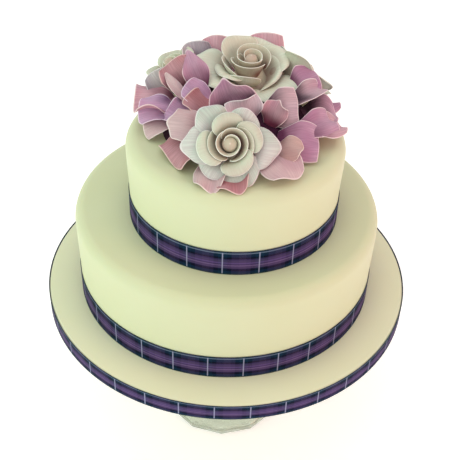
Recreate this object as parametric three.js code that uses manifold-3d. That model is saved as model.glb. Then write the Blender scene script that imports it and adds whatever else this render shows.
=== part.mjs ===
// A two-tier wedding cake with a heap of sugar flowers, on its iced and ribboned board and a
// pressed-glass cake stand. Millimetres, +Z up, the origin on the table under the stand's centre.
import * as THREE from "three";
import { mergeVertices } from "three/addons/utils/BufferGeometryUtils.js";
import Module from "manifold-3d";

const wasm = await Module();
wasm.setup();

// ---------------------------------------------------------------- driving dimensions

const GAP = 0.3; // between pieces that touch
const ROUND = 32; // facets round a tier, a ribbon and the board
const SHOULDER_STEPS = 3;

const STAND_HEIGHT = 168.6;
const STAND_SIDES = 12;
const PLATE_RADIUS = 130;
const PLATE_THICKNESS = 8;
const PLATE_FACETS = 24;
const FOOT_RADIUS = 64;

const BOARD_RADIUS = 177.2;
const BOARD_THICKNESS = 17.1; // drum and icing together
const BOARD_ICING = 4.4;
const BOARD_ICING_EDGE = 1.2; // rounded off, above the ribbon

const BOTTOM_TIER = { radius: 142.4, swell: 1.0, height: 90.8, shoulder: 10, x: -1.8, y: -1.7 };
const TOP_TIER = { radius: 96.3, swell: 1.5, height: 82.8, shoulder: 12, x: 4.3, y: -11.8 };

const RIBBON_WIDTH = 25.4;
const RIBBON_THICKNESS = 0.5;
const SWELL_START = 2; // above the ribbon, where a tier begins to swell

const MOUND = { radius: 67, height: 22, x: 1, y: 8, facets: 20, steps: 3 }; // under the flowers

const PETAL_THICKNESS = 1.3;
const PETAL_RIM = 0.55; // share of the thickness that is left at the rim
const PETAL_CELLS = [4, 2]; // across and along
const JUST_INSIDE = 0.96; // share of a petal's outline where its face has a clear direction
const PLEATS = 1.5; // waves across half of a loose petal
const OPEN_PETAL_CELLS = [4, 2];
const TIGHT_PETAL_CELLS = [6, 2];

// Where an open rose petal bends, as a share of its rim's radius and a height above its rim: in a
// deep bowl, and in a petal whose face turns out and up
const DEEP_BEND = [0.93, -16];
const FLARED_BEND = [0.5, 5];

// A rose petal's base and bend, tight and open, each a share of its rim's radius and a height, and
// the cone of sugar paste on which the open petals stand
const TIGHT_BASE = [0.6, -6];
const TIGHT_BEND = [0.72, 9];
const OPEN_CONE = { radius: 6, wider: 0.12, height: -12, deeper: -0.15 };
const OPEN_WAIST = 0.8;

// How far a rose petal's rim goes outwards as it is rolled down or waved, how far a side goes up as
// it is twisted in, the least radius, and the length for which a drawn-out tip is given
const ROLL_OUT = 0.4;
const WAVE_OUT = 0.3;
const TWIST_UP = 0.8;
const LEAST_RADIUS = 0.3;
const TIP_LENGTH = 30;

// A drawn-out tip: its share of the petal's half width, and how suddenly it starts
const TIP_WIDTH = 0.25;
const TIP_START = 6;

// A loose petal: where along it it is widest and how roundly it widens, the share of its cup that
// it has at the root, where its ruffles are full and what they run round, and the least bend
const WIDEST_AT = 0.55;
const ROUNDNESS = 0.8;
const ROOT_CUP = 0.35;
const RUFFLED_FROM = 0.45;
const RUFFLE_CENTRE = -0.15;
const LEAST_BEND = 1e-5;

// A rose's room: the bowl and the outer petals as shares of its widest petal, and the bowl's facets
const BOWL_SHARE = 0.75;
const OUTER_SHARE = 0.6;
const BOWL_FACETS = 12;

const BUD_FACETS = 8;
const BUD_PROFILE = [
  [0, -24], [10, -22], [17, -17], [17, -11], [11, -3], [6.3, 3], [6.3, 9], [4.6, 12.5], [0, 14.5],
];

// heights above the table
const boardBottom = STAND_HEIGHT + GAP;
const boardTop = boardBottom + BOARD_THICKNESS;
const bottomTierTop = boardTop + BOTTOM_TIER.height;
const topTierTop = bottomTierTop + TOP_TIER.height;

// ---------------------------------------------------------------- colours

const icing = new THREE.MeshStandardMaterial({ color: 0xe9e4c4, roughness: 0.55 });
const ribbon = new THREE.MeshStandardMaterial({ color: 0x3d3558, roughness: 0.6 });
const card = new THREE.MeshStandardMaterial({ color: 0xb9a98a, roughness: 0.9 });
const glass = new THREE.MeshStandardMaterial({
  color: 0xd5e8d2, roughness: 0.1, transparent: true, opacity: 0.5,
});
const roseSugar = new THREE.MeshStandardMaterial({ color: 0xe0d3b8, roughness: 0.7 });
const moundSugar = new THREE.MeshStandardMaterial({ color: 0x6b3a5c, roughness: 0.8 });
const petalSugar = new THREE.MeshStandardMaterial({ color: 0xb98aac, roughness: 0.7 });

const cake = new THREE.Group();

function addPiece(name, geometry, material) {
  const mesh = new THREE.Mesh(geometry, material);
  mesh.name = name;
  cake.add(mesh);
  return mesh;
}

// ---------------------------------------------------------------- solids

// A geometry whose faces close becomes a solid: shared points are merged, triangles without
// area dropped, and the faces turned outwards.
function toSolid(geometry) {
  const bare = geometry.clone();
  bare.deleteAttribute("normal");
  bare.deleteAttribute("uv");
  const merged = mergeVertices(bare, 1e-4);
  const points = merged.attributes.position.array;
  const corners = merged.index.array;
  const kept = [];
  let volume = 0;
  const [a, b, c] = [new THREE.Vector3(), new THREE.Vector3(), new THREE.Vector3()];
  for (let i = 0; i < corners.length; i += 3) {
    const [p, q, r] = corners.slice(i, i + 3);
    if (p === q || q === r || r === p) continue;
    kept.push([p, q, r]);
    volume += a.fromArray(points, 3 * p).dot(b.fromArray(points, 3 * q).cross(c.fromArray(points, 3 * r)));
  }
  const outward = volume > 0 ? kept : kept.map(([p, q, r]) => [p, r, q]);
  return new wasm.Manifold(new wasm.Mesh({
    numProp: 3,
    vertProperties: Float32Array.from(points),
    triVerts: Uint32Array.from(outward.flat()),
  }));
}

function toGeometry(solid) {
  const mesh = solid.getMesh();
  const geometry = new THREE.BufferGeometry();
  geometry.setAttribute("position", new THREE.BufferAttribute(mesh.vertProperties, 3));
  geometry.setIndex(new THREE.BufferAttribute(mesh.triVerts, 1));
  return geometry;
}

// The room that a solid needs: each of its corners is moved out until every face that meets
// there has moved by the gap, but at a sharp edge no further than `FURTHEST` gaps.
const FURTHEST = 4;
const ROOM_ROUNDS = 12;

function roomFor(solid) {
  const geometry = toGeometry(solid);
  const { position } = geometry.attributes;
  const corners = geometry.index.array;
  const moves = Array.from({ length: position.count }, () => new THREE.Vector3());
  const face = new THREE.Triangle();
  const normal = new THREE.Vector3();
  for (let round = 0; round < ROOM_ROUNDS; round++) {
    for (let i = 0; i < corners.length; i += 3) {
      const three = corners.slice(i, i + 3);
      face.setFromAttributeAndIndices(position, ...three).getNormal(normal);
      for (const corner of three) {
        const missing = GAP - moves[corner].dot(normal);
        if (missing > 0) moves[corner].addScaledVector(normal, missing);
      }
    }
  }
  const point = new THREE.Vector3();
  moves.forEach((move, i) => {
    point.fromBufferAttribute(position, i).add(move.clampLength(0, FURTHEST * GAP));
    position.setXYZ(i, ...point.toArray());
  });
  return toSolid(geometry);
}

const join = (solids) => solids.reduce((sum, solid) => sum.add(solid));

const largest = (solid) => solid.decompose().sort((a, b) => b.volume() - a.volume())[0];

// What is left of a solid once its neighbours are cut out of it: the largest piece, without
// edges too short to matter.
const SHORTEST_EDGE = 0.2;

function fit(solid, neighbours) {
  let left = solid;
  for (const neighbour of neighbours) left = left.subtract(neighbour);
  return largest(largest(left).simplify(SHORTEST_EDGE));
}

// A profile of [radius, height] points turned about the Z axis; the first facet's edge faces -Y.
function turned(profile, sides, x = 0, y = 0, z = 0) {
  const points = profile.map(([radius, height]) => new THREE.Vector2(radius, height));
  return new THREE.LatheGeometry(points, sides).rotateX(Math.PI / 2).translate(x, y, z);
}

function arc(centreRadius, centreHeight, size, from, to, steps) {
  return Array.from({ length: steps + 1 }, (_, i) => {
    const angle = THREE.MathUtils.degToRad(from + ((to - from) * i) / steps);
    return [centreRadius + size * Math.cos(angle), centreHeight + size * Math.sin(angle)];
  });
}

// ---------------------------------------------------------------- stand

// The foot and the knopped stem have flat sides; the plate is round. All one piece of glass.
function stand() {
  const plateUnder = STAND_HEIGHT - PLATE_THICKNESS;
  const footAndStem = [
    [0, 0], [FOOT_RADIUS, 0], [FOOT_RADIUS, 5], [FOOT_RADIUS - 4, 8], [30, 14], [16, 26], [11, 44],
    [19, 58], [19, 64], [11, 78], [12, 128], [20, 146], [40, plateUnder + 1], [0, plateUnder + 1],
  ];
  const plate = [
    [0, plateUnder], [PLATE_RADIUS - 6, plateUnder], [PLATE_RADIUS, plateUnder + 4],
    [PLATE_RADIUS, STAND_HEIGHT - 1.5], [PLATE_RADIUS - 1.5, STAND_HEIGHT], [0, STAND_HEIGHT],
  ];
  return join([toSolid(turned(footAndStem, STAND_SIDES)), toSolid(turned(plate, PLATE_FACETS))]);
}

addPiece("stand", toGeometry(stand()), glass);

// ---------------------------------------------------------------- board

const drumTop = boardTop - BOARD_ICING - GAP;
const drum = [[0, boardBottom], [BOARD_RADIUS, boardBottom], [BOARD_RADIUS, drumTop], [0, drumTop]];
const boardIcing = [
  [0, drumTop + GAP], [BOARD_RADIUS, drumTop + GAP], [BOARD_RADIUS, boardTop - BOARD_ICING_EDGE],
  [BOARD_RADIUS - BOARD_ICING_EDGE, boardTop], [0, boardTop],
];
addPiece("board_drum", turned(drum, ROUND), card);
addPiece("board_icing", turned(boardIcing, ROUND), icing);

// ---------------------------------------------------------------- tiers

// A tier's side stands straight behind its ribbon, swells a little above it and turns over
// at the shoulder.
function tier(size, bottom) {
  const widest = size.radius + size.swell;
  const top = bottom + size.height;
  const { shoulder } = size;
  const turnover = arc(widest - shoulder, top - shoulder, shoulder, 0, 90, SHOULDER_STEPS);
  const profile = [
    [0, bottom + GAP], [size.radius, bottom + GAP],
    [size.radius, bottom + RIBBON_WIDTH + SWELL_START], ...turnover, [0, top],
  ];
  return turned(profile, ROUND, size.x, size.y);
}

addPiece("bottom_tier", tier(BOTTOM_TIER, boardTop), icing);
addPiece("top_tier", tier(TOP_TIER, bottomTierTop), icing);

// ---------------------------------------------------------------- ribbons

function ribbonRing(radius, bottom, width, x = 0, y = 0) {
  const inner = radius + GAP;
  const outer = inner + RIBBON_THICKNESS;
  const top = bottom + width;
  const profile = [[inner, bottom], [outer, bottom], [outer, top], [inner, top], [inner, bottom]];
  return turned(profile, ROUND, x, y);
}

addPiece("board_ribbon", ribbonRing(BOARD_RADIUS, boardBottom, BOARD_THICKNESS), ribbon);
for (const [name, size, bottom] of [
  ["bottom_tier_ribbon", BOTTOM_TIER, boardTop],
  ["top_tier_ribbon", TOP_TIER, bottomTierTop],
]) {
  addPiece(name, ribbonRing(size.radius, bottom + GAP, RIBBON_WIDTH, size.x, size.y), ribbon);
}

// ---------------------------------------------------------------- mound

// Positions of flowers are measured from the middle of the top tier's top.
const flowerOrigin = new THREE.Vector3(TOP_TIER.x, TOP_TIER.y, topTierTop);

// Half an ellipse of sugar paste
function mound() {
  const slope = Array.from({ length: MOUND.steps }, (_, i) => {
    const angle = (i / MOUND.steps) * (Math.PI / 2);
    return [MOUND.radius * Math.cos(angle), GAP + MOUND.height * Math.sin(angle)];
  });
  const profile = [[0, GAP], ...slope, [0, GAP + MOUND.height]];
  return turned(profile, MOUND.facets, TOP_TIER.x + MOUND.x, TOP_TIER.y + MOUND.y, topTierTop);
}

addPiece("flower_mound", mound(), moundSugar);

// ---------------------------------------------------------------- petals

const radians = THREE.MathUtils.degToRad;
const mix = THREE.MathUtils.lerp;

// A square from -1 to 1 is drawn in to a rounded outline; `fullness` 0 leaves it square, 1 makes
// it an ellipse and 2 gives it points.
function outline(s, t, fullness) {
  return [s * Math.sqrt(1 - (fullness * t * t) / 2), t * Math.sqrt(1 - (fullness * s * s) / 2)];
}

// The share of a petal's length at a point of its outline; a tip goes further by `reach`.
function lengthShare(x, y, reach) {
  const share = (y + 1) / 2;
  return share + reach * Math.exp(-((x / TIP_WIDTH) ** 2)) * share ** TIP_START;
}

// A thin sheet with two faces and a rim. `place` gives a point of its middle surface for each
// point of the square. The square's corners have no direction of their own, so directions are
// taken a little further in.
function sheet(place, [columns, rows]) {
  const flat = new THREE.PlaneGeometry(2, 2, columns, rows);
  const squares = flat.attributes.position;
  const step = 0.01;
  const positions = [];
  for (const side of [1, -1]) {
    for (let i = 0; i < squares.count; i++) {
      const s = squares.getX(i);
      const t = squares.getY(i);
      const [p, q] = [s * JUST_INSIDE, t * JUST_INSIDE];
      const across = place(p + step, q).sub(place(p - step, q));
      const along = place(p, q + step).sub(place(p, q - step));
      const normal = across.cross(along).normalize();
      const edge = Math.max(Math.abs(s), Math.abs(t));
      const point = place(s, t);
      const half = (PETAL_THICKNESS / 2) * mix(1, PETAL_RIM, edge ** 3);
      positions.push(...point.addScaledVector(normal, side * half).toArray());
    }
  }
  const front = Array.from(flat.index.array);
  const count = squares.count;
  const faces = [...front];
  for (let i = 0; i < front.length; i += 3) {
    faces.push(front[i] + count, front[i + 2] + count, front[i + 1] + count);
  }
  const border = [];
  for (let i = 0; i < columns; i++) border.push(i);
  for (let j = 0; j < rows; j++) border.push(columns + j * (columns + 1));
  for (let i = columns; i > 0; i--) border.push(rows * (columns + 1) + i);
  for (let j = rows; j > 0; j--) border.push(j * (columns + 1));
  border.forEach((corner, i) => {
    const next = border[(i + 1) % border.length];
    faces.push(corner, next, next + count, corner, next + count, corner + count);
  });
  const geometry = new THREE.BufferGeometry();
  geometry.setAttribute("position", new THREE.Float32BufferAttribute(positions, 3));
  geometry.setIndex(faces);
  return toSolid(geometry);
}

// ---------------------------------------------------------------- roses

// A rose's petal stands round the rose's axis. Its profile runs from the base through a bend to
// the rim, each a radius and a height. `twist` draws one side in and up, over its neighbour, and
// lets the other down, `roll` turns the rim down, `ruffle` waves it, `point` draws the tip out,
// and `waist` narrows the base.
function rosePetal(rose, petal) {
  const { centre, axis, right, back, size } = rose;
  const { azimuth, spread, base, bend, rim } = petal;
  const { roll = 0, ruffle = 0, waves = 5, phase = 0, twist = 0, point = 0, waist = 1 } = petal;
  const place = (s, t) => {
    const [x, y] = outline(s, t, 1);
    const v = lengthShare(x, y, point / TIP_LENGTH);
    const curve = (k) => size * ((1 - v) ** 2 * base[k] + 2 * v * (1 - v) * bend[k] + v * v * rim[k]);
    const angle = radians(azimuth + spread * x * mix(waist, 1, Math.max(0, v)));
    const edge = x * x + y * y;
    const turnedDown = roll * edge ** 3 * v;
    const wave = ruffle * edge ** 2 * Math.sin(waves * Math.atan2(x, y) + radians(phase)) * v;
    const outwards = ROLL_OUT * turnedDown + WAVE_OUT * wave;
    const radius = Math.max(LEAST_RADIUS, curve(0) - twist * x + outwards);
    const height = curve(1) + TWIST_UP * twist * x * v - turnedDown + wave;
    return centre.clone().addScaledVector(right, radius * Math.cos(angle))
      .addScaledVector(back, radius * Math.sin(angle)).addScaledVector(axis, height);
  };
  return sheet(place, petal.cells);
}

const tight = (rim, height, azimuth, spread, more = {}) => ({
  azimuth, spread, base: [rim * TIGHT_BASE[0], TIGHT_BASE[1]],
  bend: [rim * TIGHT_BEND[0], TIGHT_BEND[1]], rim: [rim, height], cells: TIGHT_PETAL_CELLS, ...more,
});
// `flare` 0 is a deep bowl; 1 turns the petal's face out and up.
const open = (rim, height, azimuth, spread, { flare = 1, ...more } = {}) => ({
  azimuth, spread,
  base: [OPEN_CONE.radius + OPEN_CONE.wider * rim, OPEN_CONE.height + OPEN_CONE.deeper * rim],
  bend: [
    rim * mix(DEEP_BEND[0], FLARED_BEND[0], flare), height + mix(DEEP_BEND[1], FLARED_BEND[1], flare),
  ],
  rim: [rim, height], waist: OPEN_WAIST, cells: OPEN_PETAL_CELLS, ...more,
});

// A bud of pointed sugar paste, on a cone that the petals are stuck to.
function bud(rose) {
  const profile = BUD_PROFILE.map(([radius, height]) => [radius * rose.size, height * rose.size]);
  return toSolid(turned(profile, BUD_FACETS).applyMatrix4(rose.upright));
}

// The room that a rose takes up: a bowl round its inner petals, and the room of its outer
// petals. Nothing else may enter it.
function roseRoom(rose) {
  const widest = Math.max(...rose.petals.map((petal) => petal.rim[0]));
  const inner = BOWL_SHARE * widest;
  const profile = [
    [0, -26], [15, -24], [0.8 * inner, -17], [inner, -9], [inner + 2, 9], [0.8 * inner, 16], [0, 18],
  ].map(([radius, height]) => [radius * rose.size, height * rose.size]);
  const outerPetals = rose.petals.filter((petal) => petal.rim[0] > OUTER_SHARE * widest);
  return join([
    toSolid(turned(profile, BOWL_FACETS).applyMatrix4(rose.upright)),
    ...outerPetals.map((petal) => roomFor(rosePetal(rose, petal))),
  ]);
}

function makeRose({ centre, axis, turn = 0, size = 1, petals }) {
  const up = new THREE.Vector3(...axis).normalize();
  const right = new THREE.Vector3(1, 0, 0).projectOnPlane(up).normalize().applyAxisAngle(up, radians(turn));
  const back = new THREE.Vector3().crossVectors(up, right);
  const middle = new THREE.Vector3(...centre).add(flowerOrigin);
  const upright = new THREE.Matrix4().makeBasis(right, back, up).setPosition(middle);
  const rose = { centre: middle, axis: up, right, back, upright, size, petals };
  rose.solid = join([bud(rose), ...petals.map((petal) => rosePetal(rose, petal))]);
  return rose;
}

const frontRose = {
  centre: [-5, -63, 28], axis: [0, -0.788, 0.616],
  petals: [
    tight(8, 14.5, 20, 150, { twist: 1.8 }),
    tight(11, 14.5, 215, 130, { twist: 1.4 }),
    tight(14, 13.5, 30, 120, { twist: 2.4 }),
    open(17.5, 12, 195, 75, { flare: 0.5, twist: 2, roll: 1 }),
    open(19, 12, 0, 80, { flare: 0.5, twist: 2.2, roll: 1 }),
    open(24.5, 11, 104, 50, { twist: 2.2, roll: 1.5 }),
    open(26, 10, 26, 50, { twist: 2.6, roll: 1.5 }),
    open(26.5, 10, 198, 54, { twist: 2.2, roll: 1.5 }),
    open(25.5, 9.5, -62, 54, { twist: 2.4, roll: 1.5 }),
    open(34.5, 4, 132, 40, { twist: 2, roll: 3, ruffle: 1.4, point: 2 }),
    open(31, 5, 62, 42, { twist: 1.5, roll: 1, ruffle: 2, phase: 40 }),
    open(36.5, 3, -2, 44, { twist: 2, roll: 3, ruffle: 1.6, phase: 30, point: 3 }),
    open(34, 2, -62, 44, { twist: 2, roll: 2.5, ruffle: 1.2, point: 2 }),
    open(31, 1, -122, 42, { twist: 2, roll: 2, ruffle: 1.8, phase: 60 }),
    open(34.5, 4, 184, 44, { twist: 2, roll: 3, ruffle: 0.8, point: 4 }),
  ],
};

const topRose = {
  centre: [11, 46, 37.5], axis: [0.03, -0.12, 0.99],
  petals: [
    tight(9, 15, 60, 150, { twist: 2 }),
    tight(12.5, 14.5, 250, 120, { twist: 1.4 }),
    tight(18, 14.5, 75, 90, { twist: 1.6 }),
    tight(18.5, 13, -110, 88, { twist: 1.8 }),
    open(25.5, 11.5, 195, 52, { flare: 0.1, twist: 1.8, roll: 1 }),
    open(25, 9.5, -105, 48, { flare: 0.1, twist: 1.5, roll: 1 }),
    open(27, 9, -5, 72, { flare: 0.3, twist: 5, roll: 4 }),
    open(34, 15, 120, 48, { flare: 0.4, twist: 2, roll: 2, ruffle: 1 }),
    open(34, 11, 24, 50, { flare: 0.7, twist: 2, roll: 2.5, ruffle: 0.8 }),
    open(33, 6, 215, 42, { flare: 0.7, twist: 2, roll: 1.5, ruffle: 1 }),
    open(40, 7, 76, 42, { flare: 0.8, twist: 2, roll: 2, ruffle: 1 }),
    open(50, 0, -45, 42, { flare: 0.9, twist: 2, roll: 3, ruffle: 1.2 }),
    open(50, 2, 170, 38, { flare: 0.9, twist: 2, roll: 3, ruffle: 1, point: 6 }),
    open(46, 0, 206, 40, { flare: 0.9, twist: 2, roll: 3, ruffle: 1.4 }),
    open(42, -3, -105, 40, { flare: 0.8, twist: 2, roll: 3, ruffle: 1.2 }),
  ],
};

const smallRosePetals = [
  tight(9, 12, 60, 150, { twist: 2 }),
  open(17, 11, 60, 95, { flare: 0.1, twist: 1.5, roll: 1 }),
  open(17, 11, 240, 95, { flare: 0.1, twist: 1.5, roll: 1 }),
  open(31, 11, 20, 44, { flare: 0.4, twist: 2, roll: 2.5, ruffle: 0.8 }),
  open(31, 11, 92, 44, { flare: 0.4, twist: 2, roll: 2.5, ruffle: 0.8 }),
  open(31, 11, 164, 44, { flare: 0.4, twist: 2, roll: 2.5, ruffle: 0.8, phase: 90 }),
  open(31, 11, 236, 44, { flare: 0.4, twist: 2, roll: 2.5, ruffle: 0.8 }),
  open(31, 11, 308, 44, { flare: 0.4, twist: 2, roll: 2.5, ruffle: 0.8 }),
];
const leftRose = {
  centre: [-60, 62, 26], axis: [-0.45, 0, 0.85], turn: 12, size: 0.75, petals: smallRosePetals,
};
const rightRose = {
  centre: [58, 58, 24], axis: [0.6, 0.45, 0.6], turn: 12, size: 1.0, petals: smallRosePetals,
};

// The room of everything placed so far, which a flower may not enter
const occupied = [roomFor(toSolid(tier(TOP_TIER, bottomTierTop))), roomFor(toSolid(mound()))];

for (const [name, design] of [
  ["front_rose", frontRose],
  ["top_rose", topRose],
  ["left_rose", leftRose],
  ["right_rose", rightRose],
]) {
  const rose = makeRose(design);
  addPiece(name, toGeometry(fit(rose.solid, occupied)), roseSugar);
  occupied.push(roseRoom(rose));
}

// ---------------------------------------------------------------- loose petals

// A loose petal runs from its root in the mound to its tip. `turn` rolls its face about that
// line, `arch` bends it along, `cup` bends its left and right sides up (or down, where
// negative), in degrees, `ruffle` waves its rim, `pleat` folds it lengthwise, `point` draws its
// tip out and `fullness` shapes its outline, from square corners to a leaf.
function makePetal(petal) {
  const { root, tip, width, turn = 0, arch = 0, cup = [20, 20], taper = 0.45 } = petal;
  const { ruffle = 2.6, waves = 4, phase = 0, pleat = 1.2, point = 0, fullness = 0.75 } = petal;
  const start = new THREE.Vector3(...root).add(flowerOrigin);
  const run = new THREE.Vector3(...tip).add(flowerOrigin).sub(start);
  const length = run.length();
  const forward = run.clone().normalize();
  const face = new THREE.Vector3(0, 0, 1).projectOnPlane(forward).normalize()
    .applyAxisAngle(forward, radians(turn));
  const side = new THREE.Vector3().crossVectors(forward, face);
  const place = (s, t) => {
    const [x, y] = outline(s, t, fullness);
    const v = lengthShare(x, y, point / length);
    const widening = mix(taper, 1, THREE.MathUtils.clamp(v / WIDEST_AT, 0, 1) ** ROUNDNESS);
    const across = (width / 2) * x * widening;
    const cupped = radians(cup[across < 0 ? 0 : 1]) * mix(ROOT_CUP, 1, v);
    const bend = cupped / (width / 2) || LEAST_BEND;
    const edge = x * x + y * y;
    const ruffled = ruffle * edge * edge * THREE.MathUtils.clamp(v / RUFFLED_FROM, 0, 1);
    const round = Math.atan2(x, y - RUFFLE_CENTRE);
    const wave = ruffled * Math.sin(waves * round + radians(phase))
      + pleat * v * Math.sin(PLEATS * Math.PI * x + radians(phase));
    const lift = arch * length * 4 * v * (1 - v) + (1 - Math.cos(bend * across)) / bend + wave;
    return start.clone().addScaledVector(forward, v * length)
      .addScaledVector(side, Math.sin(bend * across) / bend).addScaledVector(face, lift);
  };
  return sheet(place, PETAL_CELLS);
}

// The front of the heap first, from left to right, then the middle and the back.
const petals = {
  left_outer_high: {
    root: [-52, 16, 12], tip: [-91, 12, 19], width: 50,
    turn: -5, arch: 0.12, cup: [50, 10], ruffle: 3, fullness: 0.3,
  },
  left_outer_low: {
    root: [-50, 4, 12], tip: [-86, -2, 19], width: 34,
    turn: -10, arch: 0.15, cup: [-20, 50], ruffle: 3, phase: 30, pleat: 2,
  },
  left_grey: {
    root: [-60, 34, 12], tip: [-76, 43, 33], width: 30,
    turn: -40, arch: 0.1, cup: [30, 40],
  },
  left_round: {
    root: [-40, 22, 22], tip: [-60, 43, 44], width: 38,
    turn: -30, arch: 0.15, cup: [40, 30],
  },
  left_tall: {
    root: [-28, 14, 25], tip: [-45, 43, 53], width: 25,
    turn: -20, arch: 0.1, cup: [30, 40], taper: 0.8, ruffle: 1.5, pleat: 1.5, point: 3, fullness: 1.5,
  },
  left_folded: {
    root: [-42, -4, 30], tip: [-64, 26, 41], width: 10,
    turn: -30, cup: [30, -10], taper: 0.9, ruffle: 0.6, pleat: 0.6, fullness: 1.2,
  },
  left_low_lilac: {
    root: [-46, -4, 10], tip: [-81, -10, 8], width: 34,
    turn: -5, arch: 0.12, cup: [-20, 30], ruffle: 3.5, waves: 3,
  },
  left_inner_lilac: {
    root: [-38, -10, 14], tip: [-60, -4, 24], width: 34,
    turn: -25, cup: [40, 30], ruffle: 3.5, pleat: 2,
  },
  left_front_pale: {
    root: [-24, -34, 20], tip: [-54, -34, 30], width: 38,
    turn: -25, arch: 0.12, cup: [-30, -30], point: 4,
  },
  front_left_red: {
    root: [-30, -36, 14], tip: [-56, -53, 5], width: 46,
    turn: -4, arch: 0.12, cup: [20, -20], fullness: 0.4,
  },
  front_low_left: { root: [-17, -56, 5], tip: [-23, -90, 1], width: 28, arch: 0.1, cup: [20, 20] },
  front_low_red: {
    root: [-4, -62, 3], tip: [-1, -93, 2], width: 30,
    turn: 10, arch: 0.08, cup: [20, 30],
  },
  front_right_low: {
    root: [24, -46, 12], tip: [46, -80, 8], width: 38,
    turn: 10, arch: 0.1, cup: [-20, 20],
  },
  front_right_ridge: {
    root: [30, -48, 12], tip: [55, -54, 19], width: 26,
    turn: 25, arch: 0.12, cup: [-20, 20], ruffle: 2,
  },
  right_front_broad: {
    root: [34, -34, 14], tip: [70, -34, 13], width: 38,
    turn: 25, arch: 0.1, cup: [-10, -20], ruffle: 1.5, fullness: 0.3,
  },
  right_upright: {
    root: [25, -4, 22], tip: [52, -8, 32], width: 36,
    turn: 45, arch: 0.15, cup: [30, -10], ruffle: 1, pleat: 1, fullness: 0.2,
  },
  right_fold_high: {
    root: [47, 0, 31], tip: [75, 16, 36], width: 26,
    turn: 10, arch: 0.05, cup: [50, 90], ruffle: 1, fullness: 0.4,
  },
  right_outer: {
    root: [50, -24, 13], tip: [84, -4, 16], width: 28,
    turn: 30, arch: 0.15, cup: [10, 50], ruffle: 2, pleat: 2, fullness: 0.4,
  },
  right_high: {
    root: [46, 24, 26], tip: [71, 31, 40], width: 36,
    turn: 20, arch: 0.12, cup: [20, 30], ruffle: 1.5, pleat: 1, phase: 60,
  },
  right_low_side: {
    root: [54, 14, 8], tip: [90, 16, 8], width: 42,
    turn: 10, arch: 0.12, cup: [30, 30],
  },
  right_outer_low: { root: [54, -16, 8], tip: [95, -4, 10], width: 38, arch: 0.1, cup: [20, 30] },
  centre_arch: {
    root: [6, -6, 24], tip: [-10, -11, 54], width: 44,
    turn: -115, arch: 0.1, cup: [40, 30], ruffle: 2, pleat: 1.5, point: 5,
  },
  centre_ruffle: {
    root: [9, -22, 24], tip: [3, -22, 47], width: 34,
    turn: -70, cup: [20, 40], ruffle: 2.5, phase: 60, pleat: 1.5, fullness: 0.5,
  },
  centre_left: { root: [-20, -10, 18], tip: [-43, -2, 37], width: 30, turn: -15, cup: [30, 20] },
  centre_left_lilac: {
    root: [-22, 2, 26], tip: [-46, 8, 40], width: 26,
    turn: -40, cup: [40, 20], ruffle: 2,
  },
  right_inner: {
    root: [28, -18, 18], tip: [35, -13, 38], width: 24,
    turn: 35, cup: [40, 40], point: 3, fullness: 0.4,
  },
  back_left_dark: {
    root: [-33, 64, 10], tip: [-42, 80, 45], width: 34,
    turn: -10, arch: 0.1, cup: [40, 20], pleat: 2,
  },
  back_left_pink: {
    root: [-18, 74, 10], tip: [-20, 92, 46], width: 36,
    turn: -10, arch: 0.1, cup: [30, 30],
  },
  back_right_pink: {
    root: [26, 78, 8], tip: [25, 98, 47], width: 36,
    arch: 0.15, cup: [40, 30], fullness: 0.5,
  },
  back_low_1: { root: [62, 30, 4], tip: [92, 46, 4], width: 30, arch: 0.1, cup: [10, 10] },
  back_low_2: {
    root: [28, 60, 6], tip: [40, 93, 8], width: 32,
    turn: -6, arch: 0.15, cup: [10, 10],
  },
  back_low_3: {
    root: [10, 60, 6], tip: [12, 97, 7], width: 32,
    turn: 6, arch: 0.15, cup: [20, 10],
  },
  back_low_4: {
    root: [-10, 60, 6], tip: [-16, 96, 8], width: 32,
    turn: -6, arch: 0.15, cup: [10, 20],
  },
  back_low_5: {
    root: [-26, 56, 6], tip: [-42, 88, 7], width: 32,
    turn: -6, arch: 0.15, cup: [10, 20],
  },
  back_middle: { root: [2, 70, 8], tip: [0, 98, 20], width: 34, arch: 0.15, cup: [30, 20] },
};

for (const [name, petal] of Object.entries(petals)) {
  const solid = makePetal(petal);
  addPiece(`petal_${name}`, toGeometry(fit(solid, occupied)), petalSugar);
  occupied.push(roomFor(solid));
}

export default cake;
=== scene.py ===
# A two-tier wedding cake with tartan ribbons and a heap of sugar flowers, on its iced board and
# a pressed-glass cake stand. Its sizes are in millimetres, and turned into metres as meshes are
# made. The camera and the lamps are placed in metres.
import math

import bpy
import numpy as np
from mathutils import Matrix, Vector


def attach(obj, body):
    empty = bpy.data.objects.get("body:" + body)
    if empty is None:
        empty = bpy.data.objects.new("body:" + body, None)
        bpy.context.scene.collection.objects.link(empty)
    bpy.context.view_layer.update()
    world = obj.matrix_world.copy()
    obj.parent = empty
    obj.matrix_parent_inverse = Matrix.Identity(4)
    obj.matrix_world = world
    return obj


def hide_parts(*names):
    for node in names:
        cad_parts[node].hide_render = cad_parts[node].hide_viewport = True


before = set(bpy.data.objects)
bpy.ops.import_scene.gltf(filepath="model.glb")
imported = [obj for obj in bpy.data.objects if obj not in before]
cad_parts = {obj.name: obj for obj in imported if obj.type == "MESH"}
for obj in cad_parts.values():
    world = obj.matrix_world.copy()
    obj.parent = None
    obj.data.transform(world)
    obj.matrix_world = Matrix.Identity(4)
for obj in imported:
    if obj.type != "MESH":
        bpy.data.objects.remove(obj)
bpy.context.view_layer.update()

# ---------------------------------------------------------------- camera
# It stands in front of the cake, above the flowers, and looks down on it.
camera = bpy.data.objects.new("camera", bpy.data.cameras.new("camera"))
bpy.context.scene.collection.objects.link(camera)
bpy.context.scene.camera = camera
camera.data.sensor_width = 36
camera.data.lens = 69.35
camera_place = Vector((0, -0.671, 0.7889))
camera_aim = Vector((0.0022, 0.7724, -0.6352))
camera_roll = math.radians(2.0)
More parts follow.
